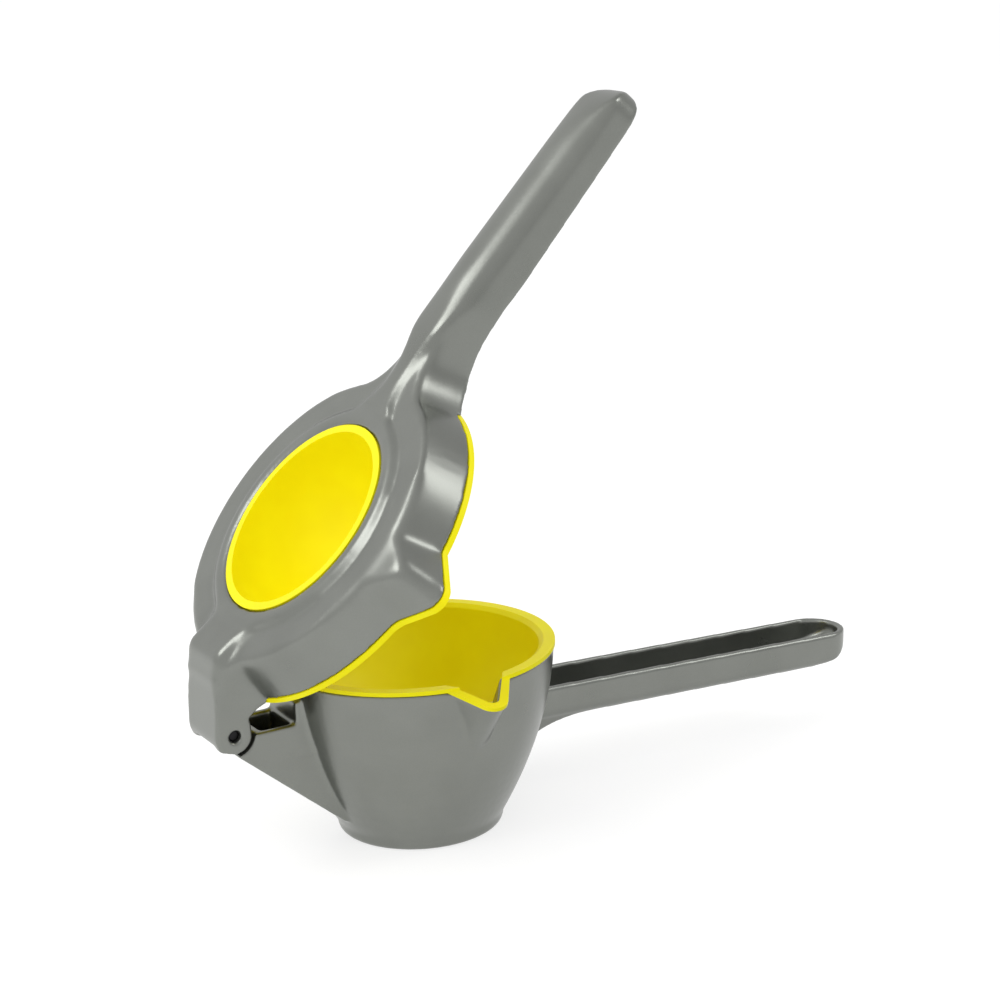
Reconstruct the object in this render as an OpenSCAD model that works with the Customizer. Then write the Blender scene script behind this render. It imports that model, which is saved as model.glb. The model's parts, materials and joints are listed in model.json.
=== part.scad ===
// Hinged citrus press with a pouring cup.
// The cup stands on its flat base at the origin with +Z up. The hinge is on the
// -X side, both handles reach towards +X and the pouring spout points to -Y.
// The arm is drawn closed, in its own frame with the hinge axis at the origin,
// and is then swung up to the angle at which the press stands open.

/* [Cup] */
// Radius of the yellow lip that lies on the cup's rim
rim_r = 50; // [46:0.5:54]
// Height of the cast rim above the table
cup_h = 63.9; // [60:0.1:68]
// Radius of the base that the cup stands on
base_r = 29; // [26:0.5:33]
// Height of the upright band above the base
foot_h = 4; // [2:0.5:6]
// Thickness of the cast cup wall
cup_wall = 3; // [2.4:0.1:3.4]
// How far the yellow lip stands out past the cast rim
lip_overhang = 0.6; // [0.2:0.1:1]

/* [Spout] */
// How far the tip of the spout's lip reaches past the rim
spout_out = 11; // [9:0.5:13]
// Half of the angle between the spout's two flanks
spout_half_angle = 35; // [30:1:40]
// Radius round the tip of the spout
spout_round = 5.6; // [5:0.1:7]
// Angle by which the spout's lip dips below the rim
spout_dip = 20; // [16:1:24]
// Lean of the spout's front edge from the vertical
spout_lean = 39; // [34:1:44]

/* [Strainer] */
// Width of the yellow lip
lip_w = 4; // [3:0.2:5]
// Width of the yellow lip round the spout
spout_lip_w = 3; // [2.2:0.1:4]
// Thickness of the yellow lip
lip_t = 1.4; // [1.2:0.1:2]
// Depth of the strainer bowl below its lip
bowl_depth = 43; // [40:0.5:46]
// Wall of the strainer bowl
bowl_wall = 1.7; // [1.4:0.1:2]
// Number of drain slots in the outer ring
outer_slots = 14; // [10:1:16]
// Number of drain slots in the inner ring
inner_slots = 7; // [5:1:8]
// Width of one drain slot
slot_w = 2.6; // [1.8:0.1:3]

/* [Hinge] */
// Distance from the rim to the hinge axis
hinge_out = 23; // [22:0.5:26]
// Gap between the liner and the strainer's lip when the press is closed
closed_gap = 0.75; // [0.5:0.05:1.5]
// Diameter of the steel hinge pin
pin_d = 4.2; // [3.6:0.1:5]
// Depth of the pin's ends below the faces of the cheeks
pin_recess = 2; // [0.5:0.1:2.5]
// Width of the arm's hinge block across both cheeks
block_w = 24.5; // [22:0.5:27]
// Thickness of one cheek of the hinge block
cheek_t = 4.25; // [3.5:0.25:5]
// Side gap between a cheek and the cup's tongue
side_gap = 0.25; // [0.15:0.05:0.4]
// Height above the table at which the bracket meets the cup's base
bracket_foot = 6; // [4:0.5:10]
// Angle at which the arm stands open
open_angle = 47.5; // [0:0.5:85]
// Angle from closed at which the tongue's heel stops the arm
open_travel = 90; // [88:1:96]

/* [Press head] */
// Height of the raised ring round the window above the hinge axis
head_h = 20.4; // [19:0.1:23]
// Thickness of the casting round the window
top_t = 4.1; // [3.6:0.1:5]
// Height of the raised ring above the shoulder round it
ring_step = 1.9; // [1.2:0.1:2.2]
// Width of the raised ring
ring_wide = 5.7; // [4:0.1:7]
// Radius of the round window
window_r = 36.3; // [33:0.1:38]
// Room between the liner and the cup's rim when the press is closed
head_clear = 1.85; // [1.5:0.05:3]
// How far the skirt spreads from the head's upper edge to its lower edge
skirt_flare = 4.6; // [3.5:0.1:6]
// Thickness of the cast skirt
head_wall = 2.2; // [2:0.1:2.5]
// How far the beak reaches past the tip of the spout
beak_out = 13; // [12:0.2:15]
// Lean of the beak's front edge from the vertical
beak_lean = 27; // [24:1:29]
// Half of the angle between the beak's two flanks
beak_half_angle = 41; // [39:1:44]
// Angle by which the beak points towards the hinge
beak_turn = 1; // [0:0.25:1]

/* [Press dome] */
// Gap between the dome's tip and the strainer when the press is closed
dome_gap = 3.5; // [2.5:0.1:8]
// Wall of the yellow dome and liner
liner_t = 1.2; // [1:0.05:1.4]
// Width of the yellow ring inside the window
ring_w = 3; // [2:0.2:4]
// Number of low ribs on the dome
dome_ribs = 12; // [6:1:16]

/* [Handles] */
// Length of both handles, from the rim of the closed press to their tips
handle_len = 134; // [110:1:160]
// Wall of both handles
handle_wall = 2.6; // [2:0.1:3.2]

/* [Upper handle] */
// Width of the upper handle
arm_w = 22; // [20:0.5:25]
// Width of the upper handle where it leaves the head
neck_w = 18.6; // [14:0.2:20]
// Width of the narrow crest that runs from the raised ring into the handle's back
crest_w = 10; // [6:0.5:13]
// Height of the handle's back above the raised ring
arm_rise = 1.6; // [0:0.1:3]
// Depth of the upper handle at its thickest
arm_depth = 17.3; // [15:0.1:18]
// Fall of the upper handle's back towards its tip
arm_taper = 2.4; // [1:0.1:3]

/* [Lower handle] */
// Width of the lower handle
grip_w = 24; // [22:0.5:27]
// Depth of the lower handle
grip_depth = 12.5; // [11:0.5:15]
// Depth of the lower handle's top edge below the rim, where it leaves the cup
grip_below = 22.1; // [18:0.1:24]
// Fall of the lower handle towards its tip
grip_droop = 2.7; // [0:0.1:4]

/* [Hidden] */
$fn = 96;

cast_colour = [0.56, 0.57, 0.56];
yellow = [0.96, 0.9, 0.05];
steel = [0.3, 0.3, 0.31];

// Gap between pieces that seat in each other
seat_gap = 0.15;
// Reach of a cutting tool past the surface that it opens
past = 1;
// Reach of a cutting tool that clears the whole part
beyond = 400;

// ---- curves and helpers -------------------------------------------------

// Points of an arc round c from angle a to angle b
function arc(c, r, a, b, n = 12) =
    [for (i = [0:n]) let (t = a + (b - a) * i / n) c + r * [cos(t), sin(t)]];

// Points of a smooth curve from p to q that is drawn towards k
function bend(p, k, q, n = 14) =
    [for (i = [0:n]) let (t = i / n) p * pow(1 - t, 2) + k * 2 * t * (1 - t) + q * t * t];

// Points of a smooth step from p to q that starts and ends level
function ease(p, q, n = 10) =
    [for (i = [0:n]) let (t = i / n)
        [p[0] + (q[0] - p[0]) * t, p[1] + (q[1] - p[1]) * (1 - cos(180 * t)) / 2]];

// Points of a quarter ellipse from [a, 0] down to [0, -b], shifted up by z
function quarter(a, b, z, n = 18) =
    [for (i = [0:n]) let (t = 90 * i / n) [a * cos(t), z - b * sin(t)]];

// Closed outline whose one half is given and whose other half mirrors it
function both_sides(half) =
    concat(half, [for (i = [len(half) - 1:-1:0]) [half[i][0], -half[i][1]]]);

// Outline of a wedge whose rounded tip points to -Y at the origin
function wedge(half_angle, r, length) = let (
    x = sin(half_angle) * length + cos(half_angle) * r,
    y = cos(half_angle) * length + r)
    concat([[-x, y]],
           [for (p = arc([0, 0], r, 180 + half_angle, 360 - half_angle)) p + [0, r]],
           [[x, y]]);

// Lifts a side view, drawn in X and Z, and gives it a width to both sides
module across(half) {
    rotate([90, 0, 0]) translate([0, 0, -half]) linear_extrude(2 * half) children();
}

// Everything below the height z
module below(z) {
    translate([-beyond, -beyond, z - 2 * beyond]) cube(2 * beyond);
}

// Everything above the height z
module above(z) {
    translate([-beyond, -beyond, z]) cube(2 * beyond);
}

// ---- levels and radii that the pieces share -----------------------------

rim_top = cup_h + lip_t;
cast_r = rim_r - lip_overhang;
lip_inner_r = rim_r - lip_w;
// Fit of the strainer bowl in the cup
bowl_fit = 0.35;
bowl_r = cast_r - cup_wall - bowl_fit;
bowl_inner_r = bowl_r - bowl_wall;

spout_reach = rim_r + spout_out;
beak_reach = spout_reach + beak_out;

// Heights in the head, above the hinge axis
ceiling = head_h - top_t;
flange_top = ceiling - seat_gap;
flange_low = flange_top - liner_t;
shoulder_top = head_h - ring_step;
// The closed liner lies just above the strainer's lip
hinge_z = rim_top + closed_gap - flange_low;
hinge_x = rim_r + hinge_out;

// ---- cup ----------------------------------------------------------------

cup_floor = 3;
base_round = 1;
// The belly's fullest part, as a share of the cup's height, and its inset from the rim
belly_share = 0.53;
belly_inset = 2.4;
rim_band = 2;

// Outer side of the cup from the base to the rim
cup_side = concat(
    [[base_r - base_round, 0], [base_r, base_round]],
    bend([base_r + 0.6, foot_h], [cast_r - belly_inset, cup_h * belly_share],
         [cast_r, cup_h - rim_band]),
    [[cast_r, cup_h]]);

module cup_body(inset, floor_z, top_z) {
    side = [for (p = cup_side) [p[0] - inset, max(p[1], floor_z)]];
    rotate_extrude()
        polygon(concat([[0, floor_z]], side, [[cast_r - inset, top_z], [0, top_z]]));
}

// The spout: a leaning wedge, cut off above by the dipping plane of its lip
spout_root = rim_r - 3.5;
spout_length = 26;
cast_reach = spout_reach - lip_overhang;
spout_tip_z = cup_h - (cast_reach - spout_root) * tan(spout_dip);
// The leaning wedge's own angle, for which the dipping plane cuts it along the lip's flanks
cast_half_angle = atan(tan(spout_half_angle) / cos(spout_lean - spout_dip));

module spout_wedge(inset, top_z) {
    drop = 60;
    intersection() {
        translate([0, -cast_reach, spout_tip_z])
            rotate([spout_lean, 0, 0])
                translate([0, inset, -drop])
                    linear_extrude(drop + 30)
                        polygon(wedge(cast_half_angle, spout_round - inset, spout_length));
        below_lip(top_z);
    }
}

// Everything below the rim and below the plane that falls from it to the spout's tip
module below_lip(top_z) {
    intersection() {
        below(top_z);
        translate([0, -spout_root, top_z]) rotate([spout_dip, 0, 0]) below(0);
    }
}

// The lip over the spout: the wedge's outline laid in the dipping plane
module lip_plate(inset, low, high, back) {
    reach = (spout_reach - spout_root) / cos(spout_dip);
    half = spout_length + spout_round;
    translate([0, -spout_root, cup_h])
        rotate([spout_dip, 0, 0])
            translate([0, -reach + inset, low])
                linear_extrude(high - low)
                    intersection() {
                        polygon(wedge(spout_half_angle, spout_round - inset, spout_length));
                        translate([-half, -inset - past])
                            square([2 * half, reach + back + past]);
                    }
}

// ---- lower handle -------------------------------------------------------

grip_reach = rim_r + handle_len;
grip_z = cup_h - grip_below;
grip_round = 4;
grip_lip = 1.2;
grip_floor = 2.5;
grip_tip_r = grip_w / 2;
grip_tip_run = 22;
gusset = 6;
gusset_x = base_r + 16;

// Everything here is in a frame that starts on the cup's axis and falls with the handle
module grip_frame() {
    translate([0, 0, grip_z + rim_r * tan(grip_droop)]) rotate([0, grip_droop, 0]) children();
}

module grip_plan(inset) {
    translate([0, -grip_w / 2 + inset]) square([grip_reach - grip_tip_r, grip_w - 2 * inset]);
    translate([grip_reach - grip_tip_r, 0]) circle(grip_tip_r - inset);
}

// Lower edge of the side view where it rounds up to the tip
function grip_tip(inset) = let (low = inset - grip_depth, reach = grip_reach - inset)
    bend([grip_reach - grip_tip_run, low], [reach - 2, low], [reach, -1.5], 10);

// Side view: deep gusset at the cup, even depth, rounded up at the tip
module grip_side() {
    polygon(concat(
        [[gusset_x - gusset, 0], [gusset_x - gusset, -grip_depth - gusset]],
        bend([gusset_x, -grip_depth - gusset], [gusset_x + 8, -grip_depth],
             [gusset_x + 24, -grip_depth], 8),
        grip_tip(0), [[grip_reach, 0]]));
}

// Side view of the channel, whose floor follows the lower edge
module grip_channel_side() {
    polygon(concat([[0, past], [0, grip_floor - grip_depth]], grip_tip(grip_floor),
                   [[grip_reach - grip_floor, past]]));
}

// Half of a cross section is given as height and width, with its corners rounded
module grip_section() {
    w = grip_w / 2;
    polygon(both_sides(concat(
        arc([-grip_lip, w - grip_lip], grip_lip, 0, 90, 4),
        arc([grip_round - grip_depth, w - grip_round], grip_round, 90, 150, 6),
        [[-grip_depth - gusset - 2, w - grip_round - 2]])));
}

// Turns a cross section, drawn as height and width, to run along X
module section_along(length) {
    rotate([90, 0, 90]) linear_extrude(length) rotate(90) children();
}

module lower_handle() {
    grip_frame() difference() {
        intersection() {
            translate([0, 0, -grip_depth - gusset]) linear_extrude(grip_depth + gusset) grip_plan(0);
            across(grip_w) grip_side();
            section_along(grip_reach) grip_section();
        }
        intersection() {
            translate([0, 0, -grip_depth]) linear_extrude(2 * grip_depth) grip_plan(handle_wall);
            across(grip_w) grip_channel_side();
        }
    }
}

// ---- hinge --------------------------------------------------------------

pin_r = pin_d / 2;
// Running clearance of the pin in the tongue, and its press seat in the cheeks
pin_run = 0.05;
pin_press = 0.01;
knuckle_r = pin_r + 2.4;
slot_half = block_w / 2 - cheek_t;
tongue_half = slot_half - side_gap;

// Rear wall of the hinge block: its inner side, its thickness and where it ends
rear_slope = 39;
rear_gap = knuckle_r + 0.3;
roof_t = 2;
roof_end = 165;
// The cheeks: round below the pin, with a corner behind it
cheek_r = pin_r + 4.2;
corner_r = cheek_r + 1;

// The bracket's lower edge runs at this distance from the axis down to the cup's base
bracket_drop = knuckle_r + 0.8;
foot_dx = hinge_x - base_r;
foot_dz = hinge_z - bracket_foot;
bracket_slope = acos(bracket_drop / norm([foot_dx, foot_dz])) - atan2(foot_dx, foot_dz);
bracket_run = [cos(bracket_slope), -sin(bracket_slope)];
bracket_half = block_w / 2 - 1.4;
bracket_top = -1.2;
bracket_wall = 3;
// The tongue's edges lie this far inside the bracket's
tongue_inset = 0.3;
// The wide part of the bracket starts here, clear of the cheeks' corners
wide_from = corner_r + 0.5;
pad_top = cup_h - 5.9;
pad_h = 20;
pad_t = 12;

module at_hinge() {
    translate([-hinge_x, 0, hinge_z]) children();
}

// Foot of the square from the axis to the bracket's lower edge, lifted by the inset
function edge_foot(inset) =
    (bracket_drop - inset) * [-sin(bracket_slope), -cos(bracket_slope)];

// Side view of the bracket: level on top, and falling from the hinge to the cup below
module bracket_side(inset, from_x) {
    near = edge_foot(inset);
    polygon([[max(0, from_x), bracket_top], [max(near[0], from_x), near[1]
                 - max(0, from_x - near[0]) * tan(bracket_slope)],
             near + bracket_run * foot_dx / bracket_run[0], [foot_dx, bracket_top]]);
}

// Front view of the bracket, as height and width, which narrows towards the cup's base
module bracket_front() {
    w = bracket_half;
    deep = foot_dz + bracket_foot;
    polygon(both_sides([[10, w], [-10, w], [-deep, w - 3.5]]));
}

// Side view of the tongue: the knuckle round the pin, its root and the heel that stops the arm
module tongue_side() {
    stop_angle = roof_end + open_travel;
    drop = bracket_drop - tongue_inset;
    stop_r = drop / cos(stop_angle - 270 + bracket_slope);
    root = sqrt(pow(wide_from + 2, 2) - pow(drop, 2));
    circle(knuckle_r);
    polygon([[0, 0], knuckle_r * [cos(62), sin(62)], [wide_from + past, bracket_top - tongue_inset],
             edge_foot(tongue_inset) + root * bracket_run,
             stop_r * [cos(stop_angle), sin(stop_angle)]]);
}

module bracket() {
    at_hinge() {
        across(tongue_half) tongue_side();
        // the wider part, cut round to clear the cheeks, with its open pocket
        intersection() {
            difference() {
                across(bracket_half) difference() {
                    bracket_side(0, -wide_from);
                    circle(wide_from);
                }
                across(bracket_half - bracket_wall)
                    intersection() {
                        bracket_side(bracket_wall, wide_from + bracket_wall);
                        square([2 * (hinge_out - 1), 60], center = true);
                    }
            }
            section_along(2 * hinge_x) bracket_front();
        }
    }
    // flat pad where the bracket stands against the cup
    translate([-rim_r - 0.3, -bracket_half, pad_top - pad_h])
        cube([pad_t, 2 * bracket_half, pad_h]);
}

module cup_casting() {
    color(cast_colour) difference() {
        union() {
            cup_body(0, 0, cup_h);
            spout_wedge(0, cup_h);
            lower_handle();
            bracket();
        }
        cup_body(cup_wall, cup_floor, cup_h + past);
        spout_wedge(cup_wall, cup_h + 3 * past);
        lip_plate(0, 0, lip_t + past, 2);
        at_hinge() across(block_w) circle(pin_r + pin_run);
    }
}

// ---- strainer -----------------------------------------------------------

// The low gate in the bowl's wall behind the spout, and the slits below it
gate_w = 22;
gate_drop = 9;
gate_slits = 5;
slit_w = 2.2;
slit_pitch = 2 * slit_w;
slit_h = 10;
// The drain slots' rings, from the inner to the outer end of each slot
outer_ring = [19, 28];
inner_ring = [7, 13.5];
slot_top = cup_h - 12;

module strainer_lip() {
    translate([0, 0, cup_h]) cylinder(r = rim_r, h = lip_t);
    intersection() {
        lip_plate(0, 0, lip_t, 2);
        below(rim_top);
    }
}

// The bowl's wall, low behind the spout so that the juice can leave
module strainer_wall() {
    inner = quarter(bowl_inner_r, bowl_depth - bowl_wall, cup_h);
    outer = quarter(bowl_r, bowl_depth, cup_h);
    difference() {
        rotate_extrude() polygon(concat(
            [[bowl_r, rim_top]], outer, [for (i = [len(inner) - 1:-1:0]) inner[i]],
            [[bowl_inner_r, rim_top]]));
        translate([-gate_w / 2, -rim_r, cup_h - gate_drop])
            cube([gate_w, rim_r / 2, gate_drop + 2 * lip_t]);
    }
}

// The mouth, which widens from the bowl's wall to the inner edge of the lip
module strainer_mouth() {
    rotate_extrude() polygon([
        [0, cup_h - past], [bowl_inner_r, cup_h - past], [bowl_inner_r, cup_h],
        [lip_inner_r, rim_top], [lip_inner_r, rim_top + past], [0, rim_top + past]]);
}

// Slot outline with round ends from radius a to radius b
module slot(a, b) {
    translate([a, -slot_w / 2]) square([b - a, slot_w]);
    translate([a, 0]) circle(slot_w / 2, $fn = 24);
    translate([b, 0]) circle(slot_w / 2, $fn = 24);
}

module strainer_bowl() {
    color(yellow) difference() {
        union() {
            strainer_lip();
            strainer_wall();
        }
        strainer_mouth();
        lip_plate(spout_lip_w, -4 * past, lip_t + 4 * past, 4);
        for (i = [0:outer_slots - 1])
            rotate(i * 360 / outer_slots) linear_extrude(slot_top) slot(outer_ring[0], outer_ring[1]);
        for (i = [0:inner_slots - 1])
            rotate((i + 0.5) * 360 / inner_slots)
                linear_extrude(slot_top) slot(inner_ring[0], inner_ring[1]);
        for (i = [0:gate_slits - 1])
            translate([(i - (gate_slits - 1) / 2) * slit_pitch - slit_w / 2, -rim_r,
                       cup_h - gate_drop - slit_h - 2])
                cube([slit_w, rim_r / 2, slit_h]);
    }
}

// ---- press head ---------------------------------------------------------

outer_wall = head_wall + seat_gap;
inner_wall = outer_wall + liner_t;
skirt_low = -0.4;
liner_lip = 1.8;
lip_level = skirt_low + liner_lip;
shoulder_r = rim_r + head_clear + inner_wall;
skirt_r = shoulder_r + skirt_flare;
shoulder_h = shoulder_top - 1.2;
raised_r = window_r + ring_wide;
skirt_lean = skirt_flare / (shoulder_h - skirt_low);
function skirt_at(h) = skirt_r - (h - skirt_low) * skirt_lean;

beak_round = 6;
beak_length = 26;
beak_root = rim_r - 4;
beak_fall = 6;
// The leaning wedge's own angle, for which a level plane cuts it at the flanks' angle
beak_cut = atan(tan(beak_half_angle) / cos(beak_lean));
blend_r = 30;
// A root starts this far inside the sides of the part that it carries
root_inset = 0.1;

module head_centre() {
    translate([hinge_x, 0, 0]) children();
}

// Round body of the head with its raised ring and the lower shoulder round it
module head_top() {
    edge = 0.8;
    rotate_extrude() polygon(concat(
        [[0, ceiling], [0, head_h]],
        arc([raised_r - edge, head_h - edge], edge, 90, 20, 4),
        [[raised_r + ring_step, shoulder_top]],
        bend([shoulder_r - 1.8, shoulder_top], [shoulder_r - 0.2, shoulder_top],
             [shoulder_r, shoulder_h], 6),
        [[skirt_at(ceiling - 4), ceiling - 4], [0, ceiling - 4]]));
}

// The space inside the head's skirt, the inset being how far it lies within the outside
module head_space(inset, low, high, beak_top, fall = beak_fall) {
    knee = min(high, shoulder_h - 3);
    rotate_extrude() polygon([
        [0, low], [skirt_at(low) - inset, low], [skirt_at(knee) - inset, knee],
        [skirt_at(high) - inset - 0.6, high], [0, high]]);
    rotate(-beak_turn) beak(inset, low, beak_top, fall);
}

// The beak that covers the spout: a leaning wedge with a falling upper face
module beak(inset, low, top, fall) {
    drop = 30;
    intersection() {
        union() {
            translate([0, -beak_reach, skirt_low])
                rotate([-beak_lean, 0, 0])
                    translate([0, inset, -drop])
                        linear_extrude(drop + 50)
                            polygon(wedge(beak_cut, beak_round - inset, beak_length));
            beak_blend(inset);
        }
        above(low);
        translate([0, -beak_root, top]) rotate([fall, 0, 0]) below(0);
        translate([0, -beyond, 0]) cube(2 * beyond, center = true);
    }
}

// Axis of the hollow blend between the skirt and the beak's flank at height h, on the hinge's side
function blend_at(h) = let (
    reach = beak_reach - (h - skirt_low) * tan(beak_lean)
        + beak_round * (1 / sin(beak_cut) - 1) / cos(beak_lean),
    off = reach * sin(beak_half_angle) + blend_r,
    run = sqrt(pow(skirt_at(h) + blend_r, 2) - off * off))
    [-cos(beak_half_angle) * off + sin(beak_half_angle) * run,
     -sin(beak_half_angle) * off - cos(beak_half_angle) * run];

module beak_blend(inset) {
    low = blend_at(skirt_low);
    high = blend_at(shoulder_h);
    shift = high - low;
    rise = shoulder_h - skirt_low;
    on_skirt = low * skirt_r / (skirt_r + blend_r);
    square_off = [cos(beak_half_angle), sin(beak_half_angle)];
    on_flank = low + blend_r * square_off;
    difference() {
        translate([0, 0, -head_h]) linear_extrude(3 * head_h)
            polygon([on_skirt * 0.6, on_skirt, low, on_flank, on_flank + 15 * square_off]);
        translate([low[0], low[1], skirt_low])
            rotate([0, atan2(norm(shift), rise), atan2(shift[1], shift[0])])
                translate([0, 0, -2 * head_h]) cylinder(r = blend_r + inset, h = 5 * head_h);
    }
}

// The whole cast outside of head and beak, below the shoulder
module head_skirt() {
    head_space(0, lip_level, ceiling - 2, shoulder_top);
}

// The hollow that the liner fills
module head_hollow() {
    head_space(head_wall, skirt_low - past, ceiling, ceiling);
}

// The band under the skirt that the liner's lip fills
module lip_band(inset) {
    head_space(inset, skirt_low, lip_level, lip_level, 0);
}

// Root that spreads a part of half width w into the leaning skirt with hollow sides of radius f
module root(w, f) {
    x = sqrt(pow(skirt_r + f, 2) - pow(w + f, 2));
    lean = atan(skirt_lean * (skirt_r + f) / x);
    half = shoulder_r * (w + f) / (skirt_r + f);
    run = x - window_r;
    intersection() {
        translate([x, 0, skirt_low]) rotate([0, -lean, 0]) difference() {
            translate([-run, -half, -head_h]) cube([run, 2 * half, 3 * head_h]);
            for (side = [-1, 1])
                translate([0, side * (w + f), -2 * head_h]) cylinder(r = f, h = 5 * head_h);
        }
        above(skirt_low);
        below(shoulder_top);
    }
}

// Half of a plan view that spreads from the half width w into the raised ring with radius f
function into_ring(w, f) = let (
    x = sqrt(pow(raised_r + f, 2) - pow(w + f, 2)),
    a = atan2(w + f, x))
    concat([[window_r, 0]], arc([x, w + f], f, 180 + a, 270, 10));

// Thin layer on the shoulder that carries the raised ring's edge into a part of half width w
module ring_flow(w, f) {
    translate([0, 0, shoulder_top - 1])
        linear_extrude(head_h - shoulder_top + 1) polygon(both_sides(into_ring(w, f)));
}

// ---- upper handle -------------------------------------------------------

arm_reach = hinge_x + grip_reach;
arm_top = head_h + arm_rise;
arm_low = arm_top - arm_depth;
arm_tip_r = arm_w / 2;
arm_corner = 5;
arm_roof = 2.8;
neck_fillet = 20;
crest_fillet = 22;
neck_x = hinge_x + sqrt(pow(skirt_r + neck_fillet, 2) - pow(neck_w / 2 + neck_fillet, 2));
crest_x = hinge_x + sqrt(pow(raised_r + crest_fillet, 2) - pow(crest_w / 2 + crest_fillet, 2));
// Where the narrow neck and the crest have spread to the handle's full width
full_x = neck_x + 18;
// Where the back is highest and starts to fall
arm_start = neck_x + 5;
arm_tip_run = 20;

module arm_plan(inset) {
    w = arm_w / 2 - inset;
    n = neck_w / 2 - inset;
    polygon(both_sides(concat(
        [[hinge_x, n]], ease([neck_x, n], [full_x, w]), [[arm_reach - arm_tip_r, w]])));
    translate([arm_reach - arm_tip_r, 0]) circle(w);
}

// The crest, whose sides spread from the raised ring's end to the handle's full width
module crest_plan() {
    polygon(both_sides(concat(
        [[hinge_x, crest_w / 2]], ease([crest_x, crest_w / 2], [full_x, arm_w / 2 + past]),
        [[arm_reach, arm_w / 2 + past]])));
}

// The falling part of the back and its roll-over at the tip, the inset being towards the inside
function arm_back(inset) = let (
    fall = tan(arm_taper),
    reach = arm_reach - inset,
    turn_x = reach - arm_tip_run,
    turn_z = arm_top - inset - (turn_x - arm_start) * fall)
    bend([turn_x, turn_z], [reach - 3, turn_z - (arm_tip_run - 3) * fall],
         [reach, arm_low + 4], 12);

// Side view: the back rises from the ring, falls towards the tip and rolls over
module arm_side() {
    heel = 2.4;
    polygon(concat(
        [[hinge_x, skirt_low], [hinge_x, head_h]],
        ease([crest_x, head_h], [arm_start, arm_top]),
        arm_back(0),
        arc([arm_reach - heel, arm_low + heel], heel, 0, -90, 5),
        bend([neck_x + 24, arm_low], [neck_x + 7, arm_low], [neck_x - 8, skirt_low], 10)));
}

// Side view of the hollow underside
module arm_channel_side() {
    polygon(concat([[neck_x, skirt_low], [neck_x, arm_top - arm_roof],
                    [arm_start, arm_top - arm_roof]],
                   arm_back(arm_roof), [[arm_reach - arm_roof, skirt_low]]));
}

// Cross section with large upper corners
module arm_section() {
    w = arm_w / 2;
    polygon(both_sides(concat(
        [[arm_top, 0]],
        [for (p = arc([w - arm_corner, arm_top - arm_corner], arm_corner, 90, 0, 8)) [p[1], p[0]]],
        [[-beyond, w]])));
}

module upper_handle() {
    difference() {
        intersection() {
            translate([0, 0, skirt_low]) linear_extrude(2 * head_h) arm_plan(0);
            across(arm_w) arm_side();
            union() {
                section_along(arm_start + past) arm_section();
                translate([arm_start, 0, arm_top]) rotate([0, arm_taper, 0])
                    translate([0, 0, -arm_top]) section_along(arm_reach) arm_section();
            }
        }
        // the shoulder's level runs up beside the crest until the crest is as wide as the handle
        translate([0, 0, shoulder_top]) linear_extrude(head_h) difference() {
            square([2 * full_x, 2 * arm_w], center = true);
            crest_plan();
        }
        intersection() {
            translate([0, 0, skirt_low - past]) linear_extrude(2 * head_h) arm_plan(handle_wall);
            across(arm_w) arm_channel_side();
        }
    }
    intersection() {
        head_centre() root(neck_w / 2 - root_inset, neck_fillet);
        across(arm_w) arm_side();
    }
    head_centre() ring_flow(crest_w / 2 - root_inset, crest_fillet);
}

// ---- hinge block of the arm ---------------------------------------------

block_top = head_h + 2.2;
block_end = hinge_x - raised_r + 3;
block_fillet = 12;
slot_level = ceiling - 2.4;

// Point of the rear face, or of its inner side, at height h
function rear_at(h, d) = [(h * cos(rear_slope) - d) / sin(rear_slope), h];

module block_side() {
    d = rear_gap + roof_t;
    back = rear_at(block_top, d)[0];
    polygon(concat(
        [[block_end, ceiling - 2], [block_end, head_h - 0.1], [block_end - 3, head_h],
         [back + 3, block_top], [back + 1, block_top], rear_at(block_top - 0.8, d)],
        arc([0, 0], d, 90 + rear_slope, roof_end - 3, 4),
        [corner_r * [cos(roof_end + 7), sin(roof_end + 7)]],
        arc([0, 0], cheek_r, 216, 312, 12),
        [[wide_from + 0.2, skirt_low], [hinge_x - skirt_at(0) + 4, skirt_low]]));
}

// The space between the cheeks, below the sloping roof
module block_slot() {
    d = rear_gap;
    far = 20;
    polygon(concat(
        arc([0, 0], d, roof_end, 90 + rear_slope, 4),
        [rear_at(slot_level, d), [hinge_x - skirt_at(slot_level) + 0.2, slot_level],
         [hinge_x - skirt_at(0) - 0.2, 0], [hinge_x - skirt_at(0) - 0.2, -far], [-far, -far],
         far * [cos(roof_end), sin(roof_end)]]));
}

module hinge_block() {
    difference() {
        union() {
            across(block_w / 2) block_side();
            head_centre() mirror([1, 0, 0]) {
                root(block_w / 2 - root_inset, block_fillet);
                ring_flow(block_w / 2 - root_inset, block_fillet);
            }
        }
        across(slot_half) block_slot();
    }
}

module opened() {
    at_hinge() rotate([0, -open_angle, 0]) children();
}

module press_arm() {
    color(cast_colour) opened() difference() {
        union() {
            head_centre() head_top();
            head_centre() head_skirt();
            difference() {
                union() {
                    upper_handle();
                    hinge_block();
                }
                head_centre() lip_band(0);
            }
        }
        head_centre() head_hollow();
        head_centre() translate([0, 0, -head_h]) cylinder(r = window_r, h = 4 * head_h);
        across(block_w) circle(pin_r + pin_press);
    }
}

// ---- press dome and liner -----------------------------------------------

// Depth of the dome's tip below the hinge axis
dome_drop = hinge_z - (cup_h - bowl_depth + bowl_wall + dome_gap);
dome_r = window_r - ring_w + liner_t + 0.8;
hollow_r = window_r - ring_w;
hollow_top = head_h - 0.5;

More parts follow.
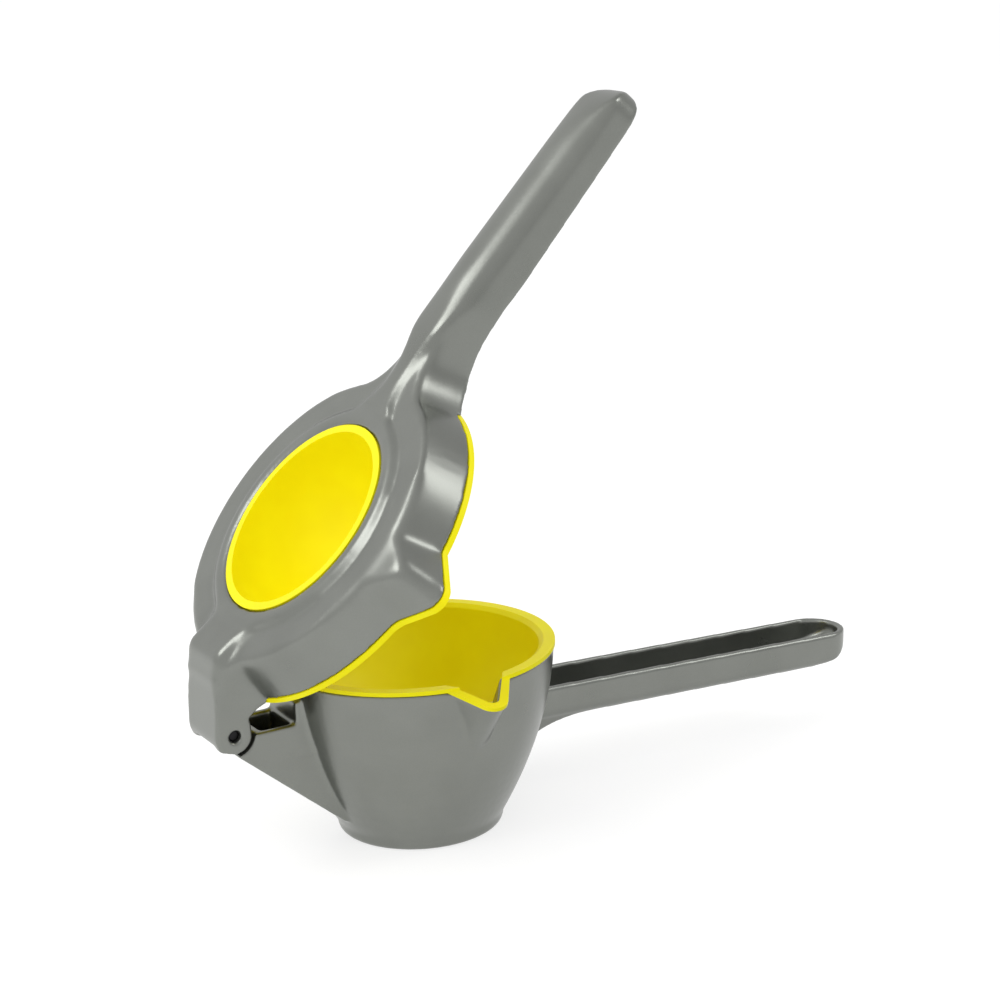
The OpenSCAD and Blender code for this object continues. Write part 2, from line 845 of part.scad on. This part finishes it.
module press_dome() {
    hollow = quarter(hollow_r, hollow_top + dome_drop - 2, hollow_top);
    color(yellow) opened() head_centre() {
        difference() {
            union() {
                // liner under the head and down the inside of its skirt
                difference() {
                    union() {
                        head_space(outer_wall, skirt_low, flange_top, flange_top);
                        lip_band(0.1);
                    }
                    head_space(inner_wall, skirt_low - past, flange_low, flange_low);
                }
                // dome that presses the fruit, and its ring in the window
                rotate_extrude() polygon(concat(
                    [[0, flange_top], [dome_r, flange_top]],
                    quarter(dome_r, flange_low + dome_drop, flange_low)));
                translate([0, 0, flange_low])
                    cylinder(r = window_r - seat_gap, h = hollow_top - flange_low);
                for (i = [0:dome_ribs - 1])
                    rotate(i * 360 / dome_ribs - rib_angle / 2)
                        rotate_extrude(angle = rib_angle) dome_rib();
            }
            rotate_extrude() polygon(concat(
                [[0, hollow_top + past], [hollow_r, hollow_top + past]], hollow));
        }
    }
}

rib_angle = 3;
rib_h = 0.8;
rib_start = 6;

// Section of one low rib on the dome
module dome_rib() {
    deep = flange_low + dome_drop;
    outer = [for (p = quarter(dome_r + rib_h, deep + rib_h, flange_low)) if (p[0] > rib_start) p];
    inner = [for (p = quarter(dome_r - 0.5, deep - 0.5, flange_low)) if (p[0] > rib_start) p];
    polygon(concat(outer, [for (i = [len(inner) - 1:-1:0]) inner[i]]));
}

// ---- hinge pin ----------------------------------------------------------

module hinge_pin() {
    half = block_w / 2 - pin_recess;
    ease_r = 0.5;
    color(steel) at_hinge() rotate([90, 0, 0])
        rotate_extrude() polygon([
            [0, -half], [pin_r - ease_r, -half], [pin_r, -half + ease_r],
            [pin_r, half - ease_r], [pin_r - ease_r, half], [0, half]]);
}

cup_casting();
strainer_bowl();
press_arm();
press_dome();
hinge_pin();
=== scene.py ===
import json
import math

import bmesh
import bpy
import numpy as np
from mathutils import Matrix, Vector


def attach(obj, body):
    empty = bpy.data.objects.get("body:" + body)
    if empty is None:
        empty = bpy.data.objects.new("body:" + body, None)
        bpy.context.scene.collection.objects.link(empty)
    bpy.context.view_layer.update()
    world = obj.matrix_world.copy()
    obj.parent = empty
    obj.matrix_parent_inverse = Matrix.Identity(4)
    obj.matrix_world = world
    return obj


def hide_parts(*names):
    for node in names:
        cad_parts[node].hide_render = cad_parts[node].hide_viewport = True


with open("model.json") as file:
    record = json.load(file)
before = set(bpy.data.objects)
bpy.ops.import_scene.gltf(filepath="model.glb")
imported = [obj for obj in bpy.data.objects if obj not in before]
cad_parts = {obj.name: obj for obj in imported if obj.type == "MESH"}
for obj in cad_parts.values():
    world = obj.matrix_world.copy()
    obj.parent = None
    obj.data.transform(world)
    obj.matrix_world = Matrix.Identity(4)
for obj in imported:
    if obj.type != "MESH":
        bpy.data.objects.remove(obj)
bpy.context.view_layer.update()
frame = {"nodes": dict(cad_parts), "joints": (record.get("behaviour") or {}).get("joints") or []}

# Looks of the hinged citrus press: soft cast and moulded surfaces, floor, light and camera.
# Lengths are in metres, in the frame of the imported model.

MM = 0.001


# ---- camera ---------------------------------------------------------------

# The photograph's camera, fitted to the outlines: where it looks and from where
LOOK_AT = Vector((0, 0, 40 * MM))
LOOK_AT_PIXEL = (415.0, 711.8)
CAMERA_AZIMUTH = math.radians(-26.85)
CAMERA_ELEVATION = math.radians(20.38)
CAMERA_ROLL = math.radians(3.38)
CAMERA_DISTANCE = 880.85 * MM
FOCAL_PIXELS = 2509.1
IMAGE = 1000
SENSOR = 36.0
NEAREST = 0.01
FARTHEST = 100


def make_camera():
    """Camera that puts LOOK_AT on LOOK_AT_PIXEL of a square image, as in the photograph."""
    data = bpy.data.cameras.new("camera")
    data.sensor_width = SENSOR
    data.lens = FOCAL_PIXELS / IMAGE * SENSOR
    data.clip_start = NEAREST
    data.clip_end = FARTHEST
    camera = bpy.data.objects.new("camera", data)
    bpy.context.scene.collection.objects.link(camera)
    flat = math.cos(CAMERA_ELEVATION)
    back = Vector((math.sin(CAMERA_AZIMUTH) * flat, -math.cos(CAMERA_AZIMUTH) * flat,
                   math.sin(CAMERA_ELEVATION)))
    right = Vector((math.cos(CAMERA_AZIMUTH), math.sin(CAMERA_AZIMUTH), 0))
    straight = Matrix((right, back.cross(right), back))
    half = IMAGE / 2
    sight = Vector(((LOOK_AT_PIXEL[0] - half) / FOCAL_PIXELS,
                    (half - LOOK_AT_PIXEL[1]) / FOCAL_PIXELS, -1))
    turn = Vector((0, 0, -1)).rotation_difference(sight).to_matrix()
    look = turn @ Matrix.Rotation(CAMERA_ROLL, 3, "Z") @ straight
    place = Matrix.Translation(LOOK_AT + back * CAMERA_DISTANCE)
    camera.matrix_world = place @ look.transposed().to_4x4()
    bpy.context.scene.camera = camera


# ---- shader nodes ---------------------------------------------------------

def node_adder(tree):
    """A function that adds a node to the tree, with its inputs set or linked."""
    def add(kind, links=(), **values):
        node = tree.nodes.new(kind)
        for key, value in values.items():
            setattr(node, key, value)
        for target, source in links:
            if isinstance(source, bpy.types.NodeSocket):
                tree.links.new(source, node.inputs[target])
            else:
                node.inputs[target].default_value = source
        return node

    return add


def new_material(name):
    """A node material, its tree, its Principled shader and a function that adds nodes."""
    material = bpy.data.materials.new(name)
    material.use_nodes = True
    tree = material.node_tree
    return material, tree, tree.nodes["Principled BSDF"], node_adder(tree)


def combined(add, operation, first, second, **values):
    """Sum (ADD) or product (MULTIPLY) of two values."""
    node = add("ShaderNodeMath", [(0, first), (1, second)], operation=operation, **values)
    return node.outputs[0]


def noise(add, place, size, detail=2.0):
    """Noise whose features are about size metres across."""
    node = add("ShaderNodeTexNoise", [("Vector", place), ("Scale", 1 / size),
                                      ("Detail", detail), ("Roughness", 0.5)])
    return node.outputs["Fac"]


def mapped(add, source, start, end, low, high, **values):
    """Maps a value between start and end to the range from low to high."""
    node = add("ShaderNodeMapRange", [("Value", source), ("From Min", start), ("From Max", end),
                                      ("To Min", low), ("To Max", high)], **values)
    return node.outputs["Result"]


def spread(add, source, low, high):
    """Maps the middle of a noise value's range to the range from low to high."""
    return mapped(add, source, 0.3, 0.7, low, high)


def eased(add, source, start, end, low, high):
    """Like mapped, with a smooth step instead of a straight one."""
    return mapped(add, source, start, end, low, high, interpolation_type="SMOOTHSTEP")


def colour_between(add, source, first, second):
    """Colour between two linear colours, by a value from 0 to 1."""
    node = add("ShaderNodeMix", [(0, source)], data_type="RGBA")
    node.inputs[6].default_value = (*first, 1)
    node.inputs[7].default_value = (*second, 1)
    return node.outputs[2]


def bumped(add, height, strength, distance, below=()):
    """Normals of a surface that rises and sinks by distance, over the normals below, if any."""
    node = add("ShaderNodeBump", [("Height", height), ("Strength", strength),
                                  ("Distance", distance), *below])
    return node.outputs["Normal"]


# ---- materials ------------------------------------------------------------

# Coating: its darkest and lightest colour, and the sizes of its unevenness
COAT_DARK = (0.204, 0.211, 0.194)
COAT_LIGHT = (0.241, 0.249, 0.230)
COAT_FLOW = 26 * MM
COAT_WAVE = 9 * MM
COAT_GRAIN = 0.9 * MM
COAT_FLAKE = 0.35 * MM
# Moulding: its colours, and the sizes of its clouds and of its skin
YELLOW_DEEP = (0.91, 0.80, 0.002)
YELLOW_BRIGHT = (0.96, 0.87, 0.003)
YELLOW_CLOUD = 18 * MM
YELLOW_SKIN = 1.6 * MM
# Pin: its colours, near black as painted shade of the recess it sits in, and the size of its
# turning marks
PIN_SHADE_DARK = (0.012, 0.012, 0.013)
PIN_SHADE_LIGHT = (0.035, 0.035, 0.036)
STEEL_MARK = 0.3 * MM


def cast_coating():
    """Silver-grey metallic coating over a casting: fine grain, faint flow and a soft sheen."""
    material, tree, shader, add = new_material("cast_coating")
    place = add("ShaderNodeTexCoord").outputs["Object"]
    flow = noise(add, place, COAT_FLOW, detail=3)
    flake = noise(add, place, COAT_FLAKE, detail=1)
    tone = combined(add, "ADD", spread(add, flow, 0.0, 0.7), spread(add, flake, 0.0, 0.3))
    colour = colour_between(add, tone, COAT_DARK, COAT_LIGHT)
    tree.links.new(colour, shader.inputs["Base Color"])
    tree.links.new(spread(add, flow, 0.27, 0.34), shader.inputs["Roughness"])
    shader.inputs["Metallic"].default_value = 0.92
    shader.inputs["Specular IOR Level"].default_value = 0.3
    grain = noise(add, place, COAT_GRAIN)
    wave = noise(add, place, COAT_WAVE)
    waves = bumped(add, wave, 0.10, 0.35 * MM)
    normal = bumped(add, grain, 0.10, 0.06 * MM, [("Normal", waves)])
    tree.links.new(normal, shader.inputs["Normal"])
    return material


def yellow_moulding():
    """Bright yellow plastic with the slight unevenness of a moulding."""
    material, tree, shader, add = new_material("yellow_moulding")
    place = add("ShaderNodeTexCoord").outputs["Object"]
    cloud = noise(add, place, YELLOW_CLOUD)
    colour = colour_between(add, spread(add, cloud, 0.0, 1.0), YELLOW_DEEP, YELLOW_BRIGHT)
    tree.links.new(colour, shader.inputs["Base Color"])
    tree.links.new(spread(add, cloud, 0.38, 0.46), shader.inputs["Roughness"])
    shader.inputs["Specular IOR Level"].default_value = 0.15
    shader.inputs["Subsurface Weight"].default_value = 0.10
    shader.inputs["Subsurface Scale"].default_value = 1.5 * MM
    shader.inputs["Subsurface Radius"].default_value = (1.0, 0.7, 0.1)
    normal = bumped(add, noise(add, place, YELLOW_SKIN), 0.08, 0.05 * MM)
    tree.links.new(normal, shader.inputs["Normal"])
    return material


def pin_painted_shade():
    """Pin end painted near black as the shade of its recess, with turning marks."""
    material, tree, shader, add = new_material("pin_painted_shade")
    place = add("ShaderNodeTexCoord").outputs["Object"]
    marks = noise(add, place, STEEL_MARK, detail=3)
    # The pin's colour is painted shade: near black, standing in for the shade inside the recess
    # round the pin end
    tree.links.new(colour_between(add, marks, PIN_SHADE_DARK, PIN_SHADE_LIGHT),
                   shader.inputs["Base Color"])
    tree.links.new(spread(add, marks, 0.35, 0.5), shader.inputs["Roughness"])
    shader.inputs["Metallic"].default_value = 1.0
    return material


# ---- forms of the castings ------------------------------------------------

# The arm's own frame: along the handle, across, and up from the hinge axis
HINGE = np.array(frame["joints"][0]["pos_m"])
OPEN_ANGLE = -math.radians(frame["joints"][0]["range_deg"][0])
ALONG = np.array((math.cos(OPEN_ANGLE), 0, math.sin(OPEN_ANGLE)))
UP = np.array((-math.sin(OPEN_ANGLE), 0, math.cos(OPEN_ANGLE)))
HEAD_CENTRE = -HINGE[0]
# The ring round the window: its edges, and how far they drop below its middle
WINDOW_R = 36.3 * MM
RING_MIDDLE = 40.2 * MM
RING_HALF = 4.2 * MM
RING_CROWN = 0.9 * MM
# The handle's back: half its width, how far its middle rises and how far it curves
HANDLE_HALF = 11 * MM
HANDLE_RISE = 1.6 * MM
HANDLE_CROWN = 2.9 * MM
# Where each form of the arm sets in or ends: the low and high end of a smooth step
RING_TOP = (16.5 * MM, 18.5 * MM)
HANDLE_START = (150 * MM, 172 * MM)
HANDLE_END = (228 * MM, 253 * MM)
HANDLE_UPPER = (2 * MM, 15 * MM)
BEAK_OUT = (44 * MM, 50 * MM)
BEAK_UP = (2.5 * MM, 6 * MM)
NECK_START = (116 * MM, 124 * MM)
NECK_END = (165 * MM, 180 * MM)
NECK_UP = (2 * MM, 5 * MM)
BLOCK_START = (5 * MM, 10 * MM)
BLOCK_END = (30 * MM, 36 * MM)
BLOCK_UP = (8 * MM, 12 * MM)
WINDOW_EDGE = (WINDOW_R + 1 * MM, WINDOW_R + 4 * MM)
STEP_UP = (16 * MM, 17 * MM)
STEP_END = (46 * MM, 48 * MM)
# The same for the cup's spout
SPOUT_OUT = (36 * MM, 44 * MM)
SPOUT_TOP = (50 * MM, 57 * MM)
# How strongly each form is rounded off
BEAK_SOFTNESS = 0.5
JOINT_SOFTNESS = 0.35
STEP_SOFTNESS = 0.12
SPOUT_SOFTNESS = 0.5
EDGE_SOFTNESS = 0.5


def ramp(value, low, high):
    """0 below low, 1 above high and a smooth step between."""
    share = np.clip((value - low) / (high - low), 0, 1)
    return share * share * (3 - 2 * share)


def between(value, start, end):
    """1 between two smooth steps, one up and one down."""
    return ramp(value, *start) * (1 - ramp(value, *end))


def arm_frame(points):
    """Distances of points along the handle, across it and up, all from the hinge axis."""
    away = points - HINGE
    return away @ ALONG, away[:, 1], away @ UP


def crown_arm(points):
    """Rounds the ring's flat top and the back of the handle, as on the real casting."""
    along, across, up = arm_frame(points)
    reach = np.hypot(along - HEAD_CENTRE, across)
    on_ring = ramp(up, *RING_TOP) * (reach < RING_MIDDLE + RING_HALF)
    drop = RING_CROWN * np.minimum(((reach - RING_MIDDLE) / RING_HALF) ** 2, 1)
    on_handle = between(along, HANDLE_START, HANDLE_END) * ramp(up, *HANDLE_UPPER)
    rise = HANDLE_RISE - HANDLE_CROWN * (across / HANDLE_HALF) ** 2
    lift = on_handle * rise - on_ring * drop
    return points + lift[:, None] * UP


def arm_rounding(points):
    """How strongly each point of the arm is rounded off: most where its forms run together."""
    along, across, up = arm_frame(points)
    reach = np.hypot(along - HEAD_CENTRE, across)
    beak = ramp(-across, *BEAK_OUT) * ramp(up, *BEAK_UP)
    neck = between(along, NECK_START, NECK_END) * ramp(up, *NECK_UP)
    block = between(along, BLOCK_START, BLOCK_END) * ramp(up, *BLOCK_UP)
    step = ramp(up, *STEP_UP) * (1 - ramp(reach, *STEP_END))
    joined = np.maximum(JOINT_SOFTNESS * np.maximum(neck, block), STEP_SOFTNESS * step)
    return np.maximum(BEAK_SOFTNESS * beak, joined) * ramp(reach, *WINDOW_EDGE)


def cup_rounding(points):
    """How strongly each point of the cup is rounded off: most where the spout leaves the wall."""
    return SPOUT_SOFTNESS * ramp(-points[:, 1], *SPOUT_OUT) * (1 - ramp(points[:, 2], *SPOUT_TOP))


# ---- pieces ---------------------------------------------------------------

# Soft castings: size of the cells that they are rebuilt from
CELL = 0.6 * MM
# Eased copies: gap that is welded, turn that counts as flat, turn that stays a crisp
# edge in the shading, turn that gets a rounded edge, and faces across such an edge
WELD = 0.002 * MM
FLAT_TURN = math.radians(0.5)
SHARP_TURN = math.radians(32)
EDGE_TURN = math.radians(40)
EDGE_FACES = 3


def new_piece(mesh, node, body, material):
    """Puts a mesh into the scene in a node's place, with one material."""
    piece = bpy.data.objects.new(node + "_soft", mesh)
    bpy.context.scene.collection.objects.link(piece)
    mesh.materials.clear()
    mesh.materials.append(material)
    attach(piece, body)
    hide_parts(node)
    return piece


def read_array(items, name, width, kind):
    """One property of a mesh's elements, as an array of rows."""
    flat = np.empty(len(items) * width, dtype=kind)
    items.foreach_get(name, flat)
    return flat.reshape(-1, width)


def neighbour_smooth(points, edges, strength, rounds):
    """Moves each point towards the middle of its neighbours by its own strength, in rounds."""
    a, b = edges[:, 0], edges[:, 1]
    size = len(points)
    count = np.maximum(np.bincount(a, minlength=size) + np.bincount(b, minlength=size), 1)
    for _ in range(rounds):
        for axis in range(3):
            value = points[:, axis]
            total = (np.bincount(a, weights=value[b], minlength=size)
                     + np.bincount(b, weights=value[a], minlength=size))
            points[:, axis] = value + strength * (total / count - value)
    return points


def rebuilt(node):
    """Mesh of a node, rebuilt from even cells so that it can be smoothed."""
    raw = bpy.data.objects.new("raw_" + node, frame["nodes"][node].data.copy())
    bpy.context.scene.collection.objects.link(raw)
    remesh = raw.modifiers.new("remesh", "REMESH")
    remesh.mode = "VOXEL"
    remesh.voxel_size = CELL
    graph = bpy.context.evaluated_depsgraph_get()
    soft = bpy.data.meshes.new_from_object(raw.evaluated_get(graph))
    bpy.data.objects.remove(raw)
    soft.name = node + "_soft"
    return soft


def soft_casting(node, body, material, rounds, rounding, extra_rounds, shape=None):
    """Copy of a node with edges and inner corners rounded as in a mould; it replaces the node."""
    soft = rebuilt(node)
    edges = read_array(soft.edges, "vertices", 2, np.int32)
    points = read_array(soft.vertices, "co", 3, np.float32).astype(float)
    if shape:
        points = shape(points)
    points = neighbour_smooth(points, edges, EDGE_SOFTNESS, rounds)
    points = neighbour_smooth(points, edges, rounding(points), extra_rounds)
    soft.vertices.foreach_set("co", points.astype(np.float32).ravel())
    soft.polygons.foreach_set("use_smooth", np.ones(len(soft.polygons), dtype=bool))
    soft.update()
    new_piece(soft, node, body, material)


def eased_copy(node, body, material, edge):
    """Copy of a node with smooth curves and small rounded edges; it replaces the node."""
    mesh = frame["nodes"][node].data.copy()
    mesh.name = node + "_soft"
    work = bmesh.new()
    work.from_mesh(mesh)
    bmesh.ops.remove_doubles(work, verts=work.verts, dist=WELD)
    bmesh.ops.dissolve_limit(work, angle_limit=FLAT_TURN, verts=work.verts, edges=work.edges)
    work.to_mesh(mesh)
    work.free()
    mesh.polygons.foreach_set("use_smooth", np.ones(len(mesh.polygons), dtype=bool))
    mesh.set_sharp_from_angle(angle=SHARP_TURN)
    piece = new_piece(mesh, node, body, material)
    bevel = piece.modifiers.new("bevel", "BEVEL")
    bevel.width = edge
    bevel.segments = EDGE_FACES
    bevel.limit_method = "ANGLE"
    bevel.angle_limit = EDGE_TURN
    bevel.use_clamp_overlap = True
    bevel.harden_normals = True


# ---- floor and light ------------------------------------------------------

# Floor: half its side, its grey and its own glow, which make white where the lamps reach it
FLOOR_HALF = 14.0
FLOOR_GREY = (0.4, 0.4, 0.4, 1)
FLOOR_GLOW = 0.68
# What diffuse light from the floor is like: its tint, and its strength on the left and right
CARD_TINT = (0.97, 1.0, 0.94, 1)
CARD_LEFT = 0.95
CARD_RIGHT = 0.3
CARD_FROM = -0.7
CARD_TO = 1.0
# Darker patch of that light, where the fruit stands in the photograph, and its reach
PATCH_PLACE = (105 * MM, -25 * MM, 0)
PATCH_LEVEL = 0.2
PATCH_INNER = 45 * MM
PATCH_OUTER = 150 * MM
# Surroundings: their strength on the left and right, and between which directions it changes
SKY_LEFT = 0.95
SKY_RIGHT = 0.7
SKY_FROM = -0.5
SKY_TO = 0.8
WHITE = (1, 1, 1, 1)
# Lamps: what they face, and from how far
LAMP_AIM = Vector((20 * MM, 0, 80 * MM))
LAMP_DISTANCE = 1.3


def shown_rays(add):
    """1 for rays from the camera, mirrored or passed on, which all see the floor as it is."""
    path = add("ShaderNodeLightPath").outputs
    seen = combined(add, "ADD", path["Is Camera Ray"], path["Is Glossy Ray"])
    return combined(add, "ADD", seen, path["Is Transmission Ray"], use_clamp=True)


def diffuse_card(add):
    """Light that the floor gives to diffuse surfaces: weaker on the right, and at the patch."""
    place = add("ShaderNodeTexCoord").outputs["Object"]
    outward = add("ShaderNodeVectorMath", [(0, place)], operation="NORMALIZE")
    east = add("ShaderNodeSeparateXYZ", [(0, outward.outputs[0])]).outputs[0]
    side = eased(add, east, CARD_FROM, CARD_TO, CARD_LEFT, CARD_RIGHT)
    away = add("ShaderNodeVectorMath", [(0, place), (1, PATCH_PLACE)], operation="DISTANCE")
    patch = eased(add, away.outputs["Value"], PATCH_INNER, PATCH_OUTER, PATCH_LEVEL, 1.0)
    level = combined(add, "MULTIPLY", side, patch)
    return add("ShaderNodeEmission", [("Color", CARD_TINT), ("Strength", level)]).outputs[0]


def make_floor():
    """White floor with the press's shadow, for the camera and in reflections."""
    corners = [(-1, -1), (1, -1), (1, 1), (-1, 1)]
    mesh = bpy.data.meshes.new("floor")
    mesh.from_pydata([(x * FLOOR_HALF, y * FLOOR_HALF, 0) for x, y in corners],
                     [], [(0, 1, 2, 3)])
    floor = bpy.data.objects.new("floor", mesh)
    bpy.context.scene.collection.objects.link(floor)
    material, tree, shader, add = new_material("floor_white")
    shader.inputs["Base Color"].default_value = FLOOR_GREY
    shader.inputs["Roughness"].default_value = 0.9
    shader.inputs["Specular IOR Level"].default_value = 0.0
    glow = add("ShaderNodeEmission", [("Color", WHITE), ("Strength", FLOOR_GLOW)])
    seen = add("ShaderNodeAddShader", [(0, shader.outputs[0]), (1, glow.outputs[0])])
    mix = add("ShaderNodeMixShader", [(0, shown_rays(add)), (1, diffuse_card(add)),
                                      (2, seen.outputs[0])])
    tree.links.new(mix.outputs[0], tree.nodes["Material Output"].inputs["Surface"])
    mesh.materials.append(material)


def make_world():
    """Pale surroundings, a little brighter on the left, the same for every ray."""
    world = bpy.data.worlds.new("studio")
    bpy.context.scene.world = world
    world.use_nodes = True
    tree = world.node_tree
    add = node_adder(tree)
    direction = add("ShaderNodeTexCoord").outputs["Generated"]
    east = add("ShaderNodeSeparateXYZ", [(0, direction)]).outputs[0]
    sky = eased(add, east, SKY_FROM, SKY_TO, SKY_LEFT, SKY_RIGHT)
    background = tree.nodes["Background"]
    background.inputs["Color"].default_value = WHITE
    tree.links.new(sky, background.inputs["Strength"])


def softbox(name, azimuth, elevation, size, radiance):
    """Soft lamp in the given direction in degrees, of the given size and brightness."""
    data = bpy.data.lights.new(name, "AREA")
    data.shape = "RECTANGLE"
    data.size, data.size_y = size
    data.energy = radiance * math.pi * size[0] * size[1]
    lamp = bpy.data.objects.new(name, data)
    bpy.context.scene.collection.objects.link(lamp)
    turn, rise = math.radians(azimuth), math.radians(elevation)
    out = Vector((math.cos(turn) * math.cos(rise), math.sin(turn) * math.cos(rise),
                  math.sin(rise)))
    lamp.location = LAMP_AIM + out * LAMP_DISTANCE
    lamp.rotation_euler = out.to_track_quat("Z", "Y").to_euler()


# ---- the scene ------------------------------------------------------------

make_camera()
coat = cast_coating()
plastic = yellow_moulding()
pin_shade = pin_painted_shade()
soft_casting("cup_casting", "cup", coat, 7, cup_rounding, 6)
soft_casting("press_arm", "arm", coat, 8, arm_rounding, 60, crown_arm)
eased_copy("strainer_bowl", "cup", plastic, 0.35 * MM)
eased_copy("press_dome", "arm", plastic, 0.35 * MM)
eased_copy("hinge_pin", "arm", pin_shade, 0.2 * MM)
make_floor()
make_world()
# A long lamp high on the left, and a smaller one on the right in front
softbox("left", 172, 50, (1.2, 0.36), 4.0)
softbox("right", -30, 38, (0.45, 0.45), 4.0)
bpy.context.scene.view_settings.view_transform = "Standard"
